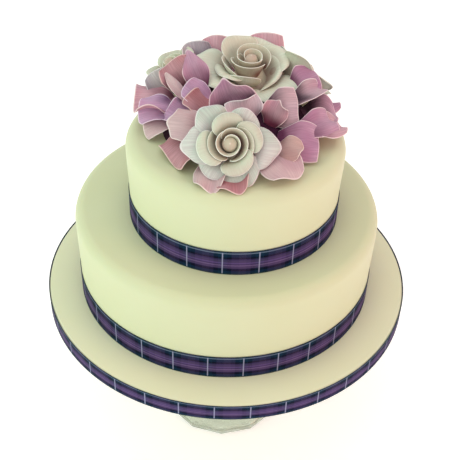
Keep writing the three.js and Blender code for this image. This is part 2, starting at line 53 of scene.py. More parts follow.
turned_to_aim = camera_aim.to_track_quat("-Z", "Y").to_matrix()
turned_level = turned_to_aim @ Matrix.Rotation(camera_roll, 3, "Z")
camera.matrix_world = Matrix.Translation(camera_place) @ turned_level.to_4x4()

# ---------------------------------------------------------------- table top and light
# A pale table top that runs on out of sight, under large soft lamps: two greenish ones in front
# and at the left, a stronger warm one at the right, and one above.
MM = 0.001


def new_piece(name, points, faces, smooth=True):
    """A mesh object from points in millimetres."""
    mesh = bpy.data.meshes.new(name)
    mesh.from_pydata([tuple(MM * c for c in point) for point in points], [], faces)
    mesh.update()
    if smooth:
        mesh.shade_smooth()
    piece = bpy.data.objects.new(name, mesh)
    bpy.context.scene.collection.objects.link(piece)
    return piece


def colour(code):
    """The linear colour of six hexadecimal digits."""
    shares = [int(code[i : i + 2], 16) / 255 for i in (0, 2, 4)]
    return tuple(s / 12.92 if s <= 0.04045 else ((s + 0.055) / 1.055) ** 2.4 for s in shares) + (1,)


def plug(tree, slot, value):
    """Links a value to a socket, or sets the socket to a number or colour."""
    if isinstance(value, Value):
        tree.links.new(value.socket, slot)
    else:
        slot.default_value = value


class Value:
    """A number or a colour that varies over a surface. Arithmetic on it adds Math nodes."""

    def __init__(self, finish, socket):
        self.finish = finish
        self.socket = socket

    def math(self, operation, other=0, turned=False):
        """A Math node of this value and the other one, which comes first if turned."""
        pair = (other, self) if turned else (self, other)
        return self.finish.node("ShaderNodeMath", {"operation": operation}, dict(enumerate(pair)))

    def __add__(self, other):
        return self.math("ADD", other)

    def __sub__(self, other):
        return self.math("SUBTRACT", other)

    def __rsub__(self, other):
        return self.math("SUBTRACT", other, turned=True)

    def __mul__(self, other):
        return self.math("MULTIPLY", other)

    def __truediv__(self, other):
        return self.math("DIVIDE", other)

    __radd__ = __add__
    __rmul__ = __mul__

    def within(self, low, high):
        """0 below low, 1 above high, smooth between; the other way round if low is the larger."""
        return self.finish.node(
            "ShaderNodeMapRange",
            {"interpolation_type": "SMOOTHSTEP"},
            {"Value": self, "From Min": low, "From Max": high},
        )


class Finish:
    """A material: the nodes that vary over the surface, and the shader that they feed."""

    def __init__(self, name, **steady):
        self.material = bpy.data.materials.new(name)
        self.material.use_nodes = True
        self.tree = self.material.node_tree
        self.shader = self.tree.nodes["Principled BSDF"]
        for socket, value in steady.items():
            self.shader.inputs[socket.replace("_", " ")].default_value = value
        self.place = self.node("ShaderNodeTexCoord", output="Object")

    def node(self, kind, settings=None, sockets=None, output=0):
        node = self.tree.nodes.new(kind)
        for setting, value in (settings or {}).items():
            if setting == "stops":
                ramp = node.color_ramp.elements
                while len(ramp) < len(value):
                    ramp.new(1)
                for stop, (position, code) in zip(ramp, value):
                    stop.position = position
                    stop.color = colour(code)
            else:
                setattr(node, setting, value)
        for socket, value in (sockets or {}).items():
            plug(self.tree, node.inputs[socket], value)
        return Value(self, node.outputs[output])

    def noise(self, size, detail=2.0, place=None, roughness=0.5):
        """Soft blotches about `size` millimetres across, around 0.5."""
        sockets = {"Scale": 1 / (size * MM), "Detail": detail, "Roughness": roughness}
        sockets["Vector"] = place or self.place
        return self.node("ShaderNodeTexNoise", {}, sockets)

    def axes(self, place):
        """The three coordinates of a place."""
        split = self.node("ShaderNodeSeparateXYZ", {}, {0: place})
        return [Value(self, output) for output in split.socket.node.outputs]

    def blend(self, share, first, second):
        """The first colour where share is 0 and the second where it is 1."""
        node = self.tree.nodes.new("ShaderNodeMix")
        node.data_type = "RGBA"
        for slot, value in zip((0, 6, 7), (share, first, second)):
            plug(self.tree, node.inputs[slot], value)
        return Value(self, node.outputs[2])

    def wear(self, **varied):
        """Feeds the shader's sockets, and its Normal from bumps of (height, depth in mm)."""
        for socket, value in varied.items():
            if socket == "bumps":
                normal = None
                for height, depth in value:
                    sockets = {"Height": height, "Distance": depth * MM, "Strength": 1.0}
                    if normal:
                        sockets["Normal"] = normal
                    normal = self.node("ShaderNodeBump", {}, sockets)
                plug(self.tree, self.shader.inputs["Normal"], normal)
            else:
                plug(self.tree, self.shader.inputs[socket.replace("_", " ")], value)
        return self.material


FLOOR_HALF = 9000
floor = new_piece(
    "floor",
    [(x * FLOOR_HALF, y * FLOOR_HALF, -1) for x, y in ((-1, -1), (1, -1), (1, 1), (-1, 1))],
    [(0, 1, 2, 3)],
)
floor_finish = Finish("pale_table", Roughness=0.9, Specular_IOR_Level=0.1)
floor_finish.wear(
    Base_Color=floor_finish.blend(floor_finish.noise(400), colour("fafafa"), colour("ffffff"))
)
floor_finish.shader.inputs["Emission Color"].default_value = (1, 1, 1, 1)
floor_finish.shader.inputs["Emission Strength"].default_value = 0.36
floor.data.materials.append(floor_finish.material)


def lamp(name, place, aim, size, watts, tint):
    light = bpy.data.lights.new(name, "AREA")
    light.size = size
    light.energy = watts
    light.color = colour(tint)[:3]
    holder = bpy.data.objects.new(name, light)
    bpy.context.scene.collection.objects.link(holder)
    holder.location = place
    holder.rotation_euler = (Vector(aim) - Vector(place)).to_track_quat("-Z", "Y").to_euler()


lamp("lamp_front_left", (-1.4, -2.4, 2.0), (0, 0, 0.25), 1.8, 9.5, "f0ffdc")
lamp("lamp_left", (-2.4, -0.5, 1.0), (0, 0, 0.25), 1.6, 12, "d4ffc8")
lamp("lamp_right", (2.3, -1.0, 1.4), (0, 0, 0.3), 1.6, 18, "ff9c74")
lamp("lamp_above", (-0.3, -0.3, 2.4), (0, 0, 0.3), 2.4, 11, "fafff0")

sky = bpy.data.worlds.new("studio")
sky.use_nodes = True
sky.node_tree.nodes["Background"].inputs["Color"].default_value = (1.0, 1.0, 1.0, 1)
sky.node_tree.nodes["Background"].inputs["Strength"].default_value = 0.64
bpy.context.scene.world = sky
bpy.context.scene.view_settings.view_transform = "Standard"

# ---------------------------------------------------------------- stand
# A cake stand of pressed glass with a faint green tint: a twelve-sided foot and knopped stem
# run up into a round plate, all moulded in one piece. It stands loose on the table.
STAND_HEIGHT = 168.6
STAND_SIDES = 12
SIDES_FADE = 16  # the height under the plate in which the flat sides fade out
FOOT_RADIUS = 64
PLATE_RADIUS = 130
PLATE_THICKNESS = 8
STAND_STEPS = 144


def spun(name, profile, facets, centre=(0, 0), shape=None):
    """Turns a profile of (radius, height) points about a vertical line. A radius of 0 closes
    the end. `shape` scales the radius by the angle and the height."""
    points, rings = [], []
    angles = [2 * math.pi * i / facets for i in range(facets)]
    for radius, height in profile:
        start = len(points)
        if radius == 0:
            points.append((*centre, height))
            rings.append([start] * facets)
            continue
        for angle in angles:
            reach = radius * (shape(angle, height) if shape else 1)
            x = centre[0] + reach * math.sin(angle)
            y = centre[1] - reach * math.cos(angle)
            points.append((x, y, height))
        rings.append(list(range(start, start + facets)))
    faces = []
    for lower, upper in zip(rings, rings[1:]):
        for i in range(facets):
            j = (i + 1) % facets
            corners = dict.fromkeys((lower[i], lower[j], upper[j], upper[i]))
            faces.append(tuple(corners))
    return new_piece(name, points, faces)


def rounded(corners, radii, steps=5):
    """A profile whose corners are rounded off, each by its radius."""
    line = []
    for i, (corner, radius) in enumerate(zip(corners, radii)):
        corner = Vector(corner)
        if radius == 0:
            line.append(tuple(corner))
            continue
        back = Vector(corners[i - 1]) - corner
        on = Vector(corners[i + 1]) - corner
        reach = min(radius, 0.49 * back.length, 0.49 * on.length)
        start = corner + back.normalized() * reach
        end = corner + on.normalized() * reach
        for step in range(steps + 1):
            t = step / steps
            line.append(tuple((1 - t) ** 2 * start + 2 * t * (1 - t) * corner + t * t * end))
    return line


plate_under = STAND_HEIGHT - PLATE_THICKNESS
stand_corners = [
    (0, 0), (FOOT_RADIUS, 0), (FOOT_RADIUS, 5), (FOOT_RADIUS - 4, 8), (30, 14), (16, 26), (11, 44),
    (19, 58), (19, 64), (11, 78), (12, 128), (20, 146), (40, plate_under),
    (PLATE_RADIUS - 6, plate_under), (PLATE_RADIUS, plate_under + 4), (PLATE_RADIUS, STAND_HEIGHT),
    (0, STAND_HEIGHT),
]
stand_rounding = [0, 1, 1.5, 2.5, 14, 12, 12, 6, 6, 12, 20, 14, 12, 4, 2, 1.2, 0]


def flat_sides(angle, height):
    """The foot and stem have flat sides, which fade out under the plate."""
    side = 2 * math.pi / STAND_SIDES
    off_corner = abs((angle + side / 2) % side - side / 2)
    flat = math.cos(side / 2) / math.cos(side / 2 - off_corner)
    share = min(1, max(0, (plate_under - height) / SIDES_FADE))
    return 1 - share * (1 - flat)


stand = spun(
    "glass_stand", rounded(stand_corners, stand_rounding), STAND_STEPS, shape=flat_sides
)
stand.data.set_sharp_from_angle(angle=math.radians(22))

glass = Finish(
    "pressed_glass", Transmission_Weight=0.75, IOR=1.5, Specular_IOR_Level=0.6, Metallic=0.0
)
streaks = glass.noise(9, detail=3)
glass.wear(
    Base_Color=glass.blend(streaks, colour("eaf4e2"), colour("f6fbf2")),
    Roughness=0.06 + 0.12 * glass.noise(25),
    bumps=[(streaks, 0.15)],
)
stand.data.materials.append(glass.material)
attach(stand, "root")
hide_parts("stand")

# ---------------------------------------------------------------- board
# A round drum of card, iced on top with ivory sugar paste like the cake's, rolled thin and
# trimmed flush with the drum's side, which a tartan ribbon covers. The board's icing carries
# painted light: its colours are lighter than the same paste on the tiers, to make up for the
# shade that falls on the flat board.
BOARD_RADIUS = 177.2
BOARD_THICKNESS = 17.1
BOARD_ICING = 4.4
GAP = 0.3  # between pieces that touch
BOARD_BOTTOM = STAND_HEIGHT + GAP
BOARD_TOP = BOARD_BOTTOM + BOARD_THICKNESS
DRUM_TOP = BOARD_TOP - BOARD_ICING - GAP
ROUND_STEPS = 256


def rolled_icing(name, first, second):
    """Sugar paste rolled out and smoothed by hand, clouded between two near colours."""
    paste = Finish(name, Roughness=0.5, Specular_IOR_Level=0.35, Subsurface_Weight=0.12)
    paste.shader.inputs["Subsurface Radius"].default_value = (0.006, 0.004, 0.002)
    paste.shader.inputs["Subsurface Scale"].default_value = 1.0
    grain = paste.noise(0.9, detail=2)
    smoothing_marks = paste.noise(14, detail=1)
    return paste.wear(
        Base_Color=paste.blend(paste.noise(55, detail=2), colour(first), colour(second)),
        Roughness=0.42 + 0.2 * smoothing_marks,
        bumps=[(smoothing_marks, 0.12), (grain, 0.03)],
    )


board_icing = spun(
    "iced_board_top",
    rounded(
        [(0, DRUM_TOP + GAP), (BOARD_RADIUS, DRUM_TOP + GAP), (BOARD_RADIUS, BOARD_TOP),
         (0, BOARD_TOP)],
        [0, 0.5, 2.4, 0],
    ),
    ROUND_STEPS,
)
board_icing.data.set_sharp_from_angle(angle=math.radians(40))
# Painted light: these icing colours are lighter than the tiers' paste, against the shade on the
# flat board.
board_icing.data.materials.append(rolled_icing("board_icing", "e8e8c6", "ececd0"))
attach(board_icing, "root")
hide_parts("board_icing")

card = Finish("drum_card", Roughness=0.85, Specular_IOR_Level=0.2)
fibres = card.noise(1.2, detail=4)
card.wear(
    Base_Color=card.blend(fibres, colour("b5a488"), colour("cfc0a4")), bumps=[(fibres, 0.1)]
)
drum = spun(
    "card_drum",
    rounded(
        [(0, BOARD_BOTTOM), (BOARD_RADIUS, BOARD_BOTTOM), (BOARD_RADIUS, DRUM_TOP), (0, DRUM_TOP)],
        [0, 0.8, 0.8, 0],
    ),
    ROUND_STEPS,
)
drum.data.set_sharp_from_angle(angle=math.radians(40))
drum.data.materials.append(card.material)
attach(drum, "root")
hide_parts("board_drum")

# ---------------------------------------------------------------- tiers
# Two round cakes, each covered in one sheet of ivory sugar paste that is smoothed down over the
# shoulder. The side stands straight behind its ribbon and swells a little above it. The upper
# tier sits on the lower one, a little off its centre.
RIBBON_WIDTH = 25.4
SWELL_START = 2  # above the ribbon
SWELL_STEPS = 12
SHOULDER_STEPS = 14
BOTTOM_TIER_HEIGHT = 90.8
TIERS = {
    "bottom_tier": dict(radius=142.4, swell=1.0, shoulder=10, centre=(-1.8, -1.7),
                        bottom=BOARD_TOP, height=BOTTOM_TIER_HEIGHT),
    "top_tier": dict(radius=96.3, swell=1.5, shoulder=12, centre=(4.3, -11.8),
                     bottom=BOARD_TOP + BOTTOM_TIER_HEIGHT, height=82.8),
}
tier_icing = rolled_icing("tier_icing", "d8dcb5", "dce0be")

for name, tier in TIERS.items():
    radius, swell, shoulder = tier["radius"], tier["swell"], tier["shoulder"]
    bottom = tier["bottom"] + GAP
    top = tier["bottom"] + tier["height"]
    swell_start = bottom + RIBBON_WIDTH + SWELL_START
    shoulder_start = top - shoulder
    side = [
        (radius + swell * t * t * (3 - 2 * t), swell_start + t * (shoulder_start - swell_start))
        for t in np.linspace(0, 1, SWELL_STEPS)
    ]
    curve = [
        (radius + swell - shoulder * (1 - math.cos(a)), shoulder_start + shoulder * math.sin(a))
        for a in np.linspace(0, math.pi / 2, SHOULDER_STEPS)[1:]
    ]
    profile = [(0, bottom), (radius, bottom), *side, *curve, (0, top)]

    piece = spun(f"iced_{name}", profile, ROUND_STEPS, tier["centre"])
    piece.data.set_sharp_from_angle(angle=math.radians(50))
    piece.data.materials.append(tier_icing)
    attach(piece, "root")
    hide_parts(name)

# ---------------------------------------------------------------- tartan ribbons
# One woven ribbon goes round the foot of each tier and round the board's edge. It is pulled
# tight and its end is stuck down over its start at the back. Lengthways threads make dark edges,
# pale lines, black lines and a mauve middle. Crosswise ones repeat the dark and mauve bands, with
# a thin white line in each check.
RIBBON_THICKNESS = 0.5
RIBBON_OVERLAP = 16
RIBBON_STEPS = 300
CHECK_LENGTH = 31.6
THREAD = 0.42
LENGTHWAYS = [  # millimetres from the top edge, and the threads' colour from there
    (0.0, "2a3a48"), (1.2, "6c7f98"), (2.4, "0e2a42"), (5.2, "0a1c38"), (6.4, "020414"),
    (7.8, "382f58"), (9.2, "4e4068"), (11.8, "66508a"), (13.2, "4c3c68"), (14.5, "786094"),
    (15.8, "584672"), (18.4, "18163a"), (19.8, "04081c"), (21.2, "12284a"), (22.6, "10304a"),
    (24.0, "2a4048"),
]
CROSSWISE = [  # shares of the check's length from a white line, and the threads' colour from there
    (0.0, "0c3048"), (0.12, "06102c"), (0.24, "443460"), (0.44, "56426e"), (0.64, "443460"),
    (0.76, "06102c"), (0.88, "0c3048"),
]
WHITE_LINE = 0.016  # half its width, as a share of the check's length
LINE_SOFTNESS = 0.4  # of that half width
LINE_STRENGTH = 0.6
TOP_EDGE = (1.2, 1.8)  # where a white line stops short of the ribbon's top edge
LOWER_EDGE = (0.6, 1.2)  # and of its lower one
CROSSWISE_SHARE = 0.3
TWILL_SHARE = 0.2  # by which that share rises and falls over each twill line


def tartan(name, radius, centre, top, width, first_line):
    """The ribbon's finish; `first_line` is the arc from the front to a white line. On a
    narrower ribbon the lengthways bands are closer, and the crosswise ones are not."""
    cloth = Finish(name, Roughness=0.6, Specular_IOR_Level=0.05)
    x, y, z = (metres / MM for metres in cloth.axes(cloth.place))
    angle = (x - centre[0]).math("ARCTAN2", centre[1] - y)
    along = angle * radius
    down = top - z

    def threads(bands, length, position):
        stops = [(start / length, code) for start, code in bands]
        settings = {"stops": stops}
        node = cloth.node("ShaderNodeValToRGB", settings, {0: position / length})
        node.socket.node.color_ramp.interpolation = "CONSTANT"
        return node

    lengthways = threads(LENGTHWAYS, RIBBON_WIDTH, down * (RIBBON_WIDTH / width))
    turn = ((along - first_line) / CHECK_LENGTH).math("FRACT")
    crosswise = threads(CROSSWISE, 1, turn)
    twill = ((along + down) * (math.pi / THREAD)).math("SINE")
    both = cloth.blend(CROSSWISE_SHARE + TWILL_SHARE * twill, lengthways, crosswise)
    from_line = (turn - 0.5).math("ABSOLUTE")
    outer, inner = (0.5 - k * WHITE_LINE for k in (1 + LINE_SOFTNESS, 1 - LINE_SOFTNESS))
    on_line = from_line.within(outer, inner)
    inside = down.within(*TOP_EDGE) * down.within(*(width - edge for edge in LOWER_EDGE))
    woven = cloth.blend(LINE_STRENGTH * on_line * inside, both, colour("b9bbe0"))
    cloth.wear(
        Base_Color=woven,
        Roughness=0.5 + 0.15 * cloth.noise(6),
        bumps=[(twill, 0.05), (cloth.noise(0.3), 0.05)],
    )
    return cloth.material


def ribbon(name, node, radius, centre, bottom, width, first_line):
    """A thin band whose last stretch lies over its start, at the back."""
    overlap = RIBBON_OVERLAP / radius
    inner = radius + GAP
    section = [
        (0, bottom), (RIBBON_THICKNESS, bottom), (RIBBON_THICKNESS, bottom + width),
        (0, bottom + width),
    ]
    points, faces = [], []
    for i in range(RIBBON_STEPS + 1):
        angle = math.pi + (2 * math.pi + overlap) * i / RIBBON_STEPS
        rise = (angle - 3 * math.pi + overlap / 2) / (overlap / 2)
        lifted = RIBBON_THICKNESS * min(1, max(0, rise))
        for reach, height in section:
            out = inner + reach + lifted
            x = centre[0] + out * math.sin(angle)
            y = centre[1] - out * math.cos(angle)
            points.append((x, y, height))
        if i:
            for k in range(4):
                a, b = 4 * i - 4 + k, 4 * i - 4 + (k + 1) % 4
                faces.append((a, a + 4, b + 4, b))
    faces += [(0, 1, 2, 3), tuple(4 * RIBBON_STEPS + k for k in (3, 2, 1, 0))]
    band = new_piece(name, points, faces)
    band.data.set_sharp_from_angle(angle=math.radians(40))
    finish = tartan(f"{name}_tartan", inner, centre, bottom + width, width, first_line)
    band.data.materials.append(finish)
    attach(band, "root")
    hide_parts(node)


for name, first_line in (("bottom_tier", -12.2), ("top_tier", -8.2)):
    tier = TIERS[name]
    ribbon(f"tartan_band_{name}", f"{name}_ribbon", tier["radius"], tier["centre"],
           tier["bottom"] + GAP, RIBBON_WIDTH, first_line)
ribbon("tartan_band_board", "board_ribbon", BOARD_RADIUS, (0, 0), BOARD_BOTTOM, BOARD_THICKNESS,
       -6.7)

# ---------------------------------------------------------------- mound
# A low mound of plum sugar paste on the middle of the upper tier, under the flowers. Its
# near-black colour is painted shade, which shows as the darkness in the gaps between them.
top_tier = TIERS["top_tier"]
FLOWER_MIDDLE = Vector((*top_tier["centre"], top_tier["bottom"] + top_tier["height"]))
MOUND_RADIUS = 67
MOUND_HEIGHT = 22
MOUND_OFFSET = (1, 8)
MOUND_STEPS = 12
MOUND_FACETS = 64

plum = Finish("plum_paste_painted_shade", Roughness=0.8, Specular_IOR_Level=0.2)
lumps = plum.noise(7, detail=3)
# The near-black plum colours are painted shade for the gaps between the flowers.
plum.wear(Base_Color=plum.blend(lumps, colour("1e0618"), colour("4a1a3c")), bumps=[(lumps, 0.8)])
mound_bottom = FLOWER_MIDDLE.z + GAP
mound_line = [
    (MOUND_RADIUS * math.cos(a), mound_bottom + MOUND_HEIGHT * math.sin(a))
    for a in np.linspace(0, math.pi / 2, MOUND_STEPS)[:-1]
]
mound = spun(
    "paste_mound",
    [(0, mound_bottom), *mound_line, (0, mound_bottom + MOUND_HEIGHT)],
    MOUND_FACETS,
    (FLOWER_MIDDLE.x + MOUND_OFFSET[0], FLOWER_MIDDLE.y + MOUND_OFFSET[1]),
)
mound.data.materials.append(plum.material)
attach(mound, "root")
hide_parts("flower_mound")

# ---------------------------------------------------------------- roses
# Four roses of ivory sugar paste. Each has a pointed bud, petals wound tightly round it, and
# open petals with thin turned-down rims, one over another on a cone. They are darker towards the
# root, partly dust and partly painted shade in the hollows, with a painted highlight along each
# rim; the heart's tight petals have more painted shade between them. The front rose's outer
# petals are a pale grey lilac.
PETAL_THICKNESS = 1.3
PETAL_RIM = 0.4
ROSE_CELLS = (24, 18)
VEIN_SCALE = (62, 1.4, 1)  # close together across a petal, drawn out along it
VEIN_EDGES = (0.66, 0.4)
VEIN_TINT = 0.16
VEIN_DEPTH = 0.16
BLOTCH_EDGES = (0.42, 0.72)
# Where the pale rim colour, a painted highlight, is laid along each petal, and how strongly.
RIM_HIGHLIGHT_EDGES = (0.94, 0.985)  # from a petal's middle, 0, to its rim, 1
RIM_HIGHLIGHT_STRENGTH = 0.9


def sugar(name, deep, body, rim, blush, gloss=0.55, vein=0.5, dusting_and_shade=(-0.05, 0.5)):
    """Sugar paste that runs from a deep colour at the root, partly dust and partly painted shade,
    to its body colour, with a painted highlight of a pale colour along its rim. The pair of
    shares says from where to where along the petal the deep colour fades."""
    paste = Finish(name, Specular_IOR_Level=0.3, Subsurface_Weight=0.1, Sheen_Weight=0.1)
    paste.shader.inputs["Subsurface Radius"].default_value = (0.004, 0.002, 0.002)
    paste.shader.inputs["Subsurface Scale"].default_value = 1.0
    square = paste.node("ShaderNodeTexCoord", output="UV")
    across, along, _ = paste.axes(square)
    sideways = (across - 0.5).math("ABSOLUTE") * 2
    edge = sideways.math("MAXIMUM", 2 * along - 1)
    stretched = paste.node("ShaderNodeMapping", {}, {"Vector": square, "Scale": VEIN_SCALE})
    veins = paste.node("ShaderNodeTexNoise", {}, {"Vector": stretched, "Scale": 1.0, "Detail": 1.0})
    clouds = paste.noise(16)
    # The deep root colour is partly dust and partly painted shade in the hollows between petals.
    depth = (along + 0.3 * (clouds - 0.5)).within(*dusting_and_shade)
    dust_and_shade = paste.blend(depth, colour(deep), colour(body))
    blotches = paste.noise(26, detail=1).within(*BLOTCH_EDGES)
    blotched = paste.blend(blotches, dust_and_shade, colour(blush))
    veined = paste.blend(veins.within(*VEIN_EDGES) * (VEIN_TINT * vein), blotched, colour(deep))
    # Painted highlight: the pale rim colour laid along each petal's edge.
    rim_highlighted = paste.blend(edge.within(*RIM_HIGHLIGHT_EDGES) * RIM_HIGHLIGHT_STRENGTH, veined, colour(rim))
    paste.wear(
        Base_Color=rim_highlighted,
        Roughness=gloss + 0.15 * clouds,
        bumps=[(veins, VEIN_DEPTH * vein), (paste.noise(1.1), 0.04)],
    )
    return paste.material


ivory = sugar("ivory_sugar", "a07c72", "d5dcc9", "f6f6ee", "d0cdbe",
              vein=0.7, dusting_and_shade=(0.05, 0.8))
warm_ivory = sugar("warm_ivory_sugar", "98706a", "e3e7d6", "fafaf2", "dad7c4",
                   vein=0.9, dusting_and_shade=(0.05, 0.85))
# The heart's tight petals take the deep colour over most of their length: painted shade in the
# crevices between them.
ivory_heart_painted_shade = sugar("ivory_heart_painted_shade", "825a50", "d6d6c2", "fafaf2", "ccc4b2",
                    vein=0.7, dusting_and_shade=(0.25, 0.95))
ivory_tip = sugar("ivory_bud", "b8988a", "cfc6b2", "e2d6c8", "c8b0a4", vein=0.3)
grey_lilac = sugar("grey_lilac_sugar", "9c7c8c", "dadad6", "f8eef2", "ccd6cc",
                   vein=1.5, dusting_and_shade=(0.1, 0.85))


def outline(s, t, fullness):
    """Draws a square from -1 to 1 in to a rounded outline."""
    return s * np.sqrt(1 - fullness * t * t / 2), t * np.sqrt(1 - fullness * s * s / 2)


JUST_INSIDE = 0.96  # where slopes are measured, as the square's corners have no direction
NEARBY = 0.01  # the step over which they are measured


def sheet(place, cells):
    """Points, faces and UVs of a thin closed petal. `place` gives the middle surface's points
    for arrays of places on the square."""
    columns, rows = cells
    s, t = np.meshgrid(np.linspace(-1, 1, columns + 1), np.linspace(1, -1, rows + 1))
    middle = place(s, t)
    p, q = JUST_INSIDE * s, JUST_INSIDE * t
    across = place(p + NEARBY, q) - place(p - NEARBY, q)
    along = place(p, q + NEARBY) - place(p, q - NEARBY)
    normal = np.cross(across, along)
    normal /= np.linalg.norm(normal, axis=-1, keepdims=True)
    edge = np.maximum(abs(s), abs(t))
    half = PETAL_THICKNESS / 2 * (1 - (1 - PETAL_RIM) * edge**3)[..., None]
    faced = [(middle + side * half * normal).reshape(-1, 3) for side in (1, -1)]
    uvs = np.stack([(s + 1) / 2, (t + 1) / 2], -1).reshape(-1, 2)
    count = uvs.shape[0]
    faces = []
    for j in range(rows):
        for i in range(columns):
            a = j * (columns + 1) + i
            corners = (a, a + columns + 1, a + columns + 2, a + 1)
            faces.append(corners)
            faces.append(tuple(c + count for c in reversed(corners)))
    border = list(range(columns)) + [columns + j * (columns + 1) for j in range(rows)]
    border += [rows * (columns + 1) + i for i in range(columns, 0, -1)]
    border += [j * (columns + 1) for j in range(rows, 0, -1)]
    for corner, following in zip(border, border[1:] + border[:1]):
        faces.append((corner, following, following + count, corner + count))
    return np.concatenate(faced), faces, np.concatenate([uvs, uvs])


def flower_piece(name, parts, finishes):
    """One object from petals, each (points, faces, uvs, finish number)."""
    points, faces, uvs, numbers = [], [], [], []
    for part_points, part_faces, part_uvs, number in parts:
        start = len(points)
        points += [tuple(p) for p in part_points]
        uvs += [tuple(p) for p in part_uvs]
        faces += [tuple(start + c for c in face) for face in part_faces]
        numbers += [number] * len(part_faces)
    piece = new_piece(name, points, faces)
    layer = piece.data.uv_layers.new(name="petal")
    corners = np.array([loop.vertex_index for loop in piece.data.loops])
    layer.data.foreach_set("uv", np.array(uvs)[corners].ravel())
    piece.data.polygons.foreach_set("material_index", numbers)
    for finish in finishes:
        piece.data.materials.append(finish)
    return piece


TIP_WIDTH = 0.25  # of half the petal's width
TIP_START = 6  # the higher, the nearer the end a drawn-out tip begins
TIP_LENGTH = 30  # of the petal that a rose petal's `point` is given for
ROLL_OUT = 0.4  # how far a rolled rim goes out for each millimetre down
WAVE_OUT = 0.3  # and a ruffled one for each millimetre up
TWIST_UP = 0.8  # how far a side goes up for each millimetre in
LEAST_RADIUS = 0.3


def along_petal(x, y, point):
    """How far along a petal a place is, from 0 to 1, with its tip drawn out by a share of it."""
    v = (y + 1) / 2
    return v + point * np.exp(-((x / TIP_WIDTH) ** 2)) * v**TIP_START


def rose_petal(rose, rim, height, azimuth, spread, base, bend, waist=1.0, twist=0.0, roll=0.0,
               ruffle=0.0, waves=5, phase=0, point=0.0):
    """A petal that stands round the rose's axis. Its profile runs from the base through a bend
    to the rim. `twist` draws one side in and up, over its neighbour, and lets the other down."""
    centre, axis, right, back, size = rose

    def place(s, t):
        x, y = outline(s, t, 1.0)
        v = along_petal(x, y, point / TIP_LENGTH)

        def bow(k, last):
            return size * ((1 - v) ** 2 * base[k] + 2 * v * (1 - v) * bend[k] + v * v * last)

        angle = np.radians(azimuth + spread * x * (waist + (1 - waist) * np.maximum(0, v)))
        edge = x * x + y * y
        turned_down = roll * edge**3 * v
        wave = ruffle * edge**2 * np.sin(waves * np.arctan2(x, y) + math.radians(phase)) * v
        radius = bow(0, rim) - twist * x + ROLL_OUT * turned_down + WAVE_OUT * wave
        radius = np.maximum(LEAST_RADIUS, radius)
        lift = bow(1, height) + TWIST_UP * twist * x * v - turned_down + wave
        around = np.cos(angle)[..., None] * right + np.sin(angle)[..., None] * back
        return centre + radius[..., None] * around + lift[..., None] * axis

    return sheet(place, ROSE_CELLS)


# Where a petal's profile starts and bends: shares of its rim's radius, and heights. The bends of
# open petals are heights above their rims.
TIGHT_BASE = (0.6, -6)
TIGHT_BEND = (0.72, 9)
DEEP_BEND = (0.93, -16)
FLARED_BEND = (0.5, 5)
OPEN_WAIST = 0.8
CONE_RADIUS = 6  # where an open petal starts, for a rim of no radius
CONE_WIDENING = 0.12  # for each millimetre of the rim's radius
CONE_HEIGHT = -12
CONE_DEEPENING = 0.15


def tight(rim, height, azimuth, spread, **more):
    base = (rim * TIGHT_BASE[0], TIGHT_BASE[1])
    bend = (rim * TIGHT_BEND[0], TIGHT_BEND[1])
    return dict(rim=rim, height=height, azimuth=azimuth, spread=spread, base=base, bend=bend,
                **more)


def open_petal(rim, height, azimuth, spread, flare=1.0, **more):
    """`flare` 0 is a deep bowl; 1 turns the petal's face out and up. A wider petal starts lower
    on the cone, where it is wider."""
    share, above = (deep + flare * (wide - deep) for deep, wide in zip(DEEP_BEND, FLARED_BEND))
    base = (CONE_RADIUS + CONE_WIDENING * rim, CONE_HEIGHT - CONE_DEEPENING * rim)
    bend = (rim * share, height + above)
    return dict(rim=rim, height=height, azimuth=azimuth, spread=spread, base=base, bend=bend,
                waist=OPEN_WAIST, **more)


BUD_PROFILE = [
    (0, -24), (10, -22), (17, -17), (17, -11), (11, -3), (6.3, 3), (6.3, 9), (4.6, 12.5), (0, 14.5),
]
BUD_FACETS = 24


def bud(rose):
    """A pointed bud on its cone."""
    centre, axis, right, back, size = rose
    points, uvs, faces = [], [], []
    for k, (radius, height) in enumerate(BUD_PROFILE):
        for i in range(BUD_FACETS):
            a = 2 * math.pi * i / BUD_FACETS
            out = math.cos(a) * right + math.sin(a) * back
            points.append(centre + size * (radius * out + height * axis))
            uvs.append((0.5, k / (len(BUD_PROFILE) - 1)))
    for k in range(len(BUD_PROFILE) - 1):
        for i in range(BUD_FACETS):
            a, b = (k * BUD_FACETS + c for c in (i, (i + 1) % BUD_FACETS))
            faces.append((a, b, b + BUD_FACETS, a + BUD_FACETS))
    return points, faces, uvs


FRONT_ROSE = [
    tight(8, 14.5, 20, 150, twist=1.8),
    tight(11, 14.5, 215, 130, twist=1.4),
    tight(14, 13.5, 30, 120, twist=2.4),
    open_petal(17.5, 12, 195, 75, flare=0.5, twist=2, roll=1),
    open_petal(19, 12, 0, 80, flare=0.5, twist=2.2, roll=1),
    open_petal(24.5, 11, 104, 50, twist=2.2, roll=1.5),
    open_petal(26, 10, 26, 50, twist=2.6, roll=1.5),
    open_petal(26.5, 10, 198, 54, twist=2.2, roll=1.5),
    open_petal(25.5, 9.5, -62, 54, twist=2.4, roll=1.5),
    open_petal(34.5, 4, 132, 40, twist=2, roll=3, ruffle=1.4, point=2),
    open_petal(31, 5, 62, 42, twist=1.5, roll=1, ruffle=2, phase=40),
    open_petal(36.5, 3, -2, 44, twist=2, roll=3, ruffle=1.6, phase=30, point=3),
    open_petal(34, 2, -62, 44, twist=2, roll=2.5, ruffle=1.2, point=2),
    open_petal(31, 1, -122, 42, twist=2, roll=2, ruffle=1.8, phase=60),
    open_petal(34.5, 4, 184, 44, twist=2, roll=3, ruffle=0.8, point=4),
]
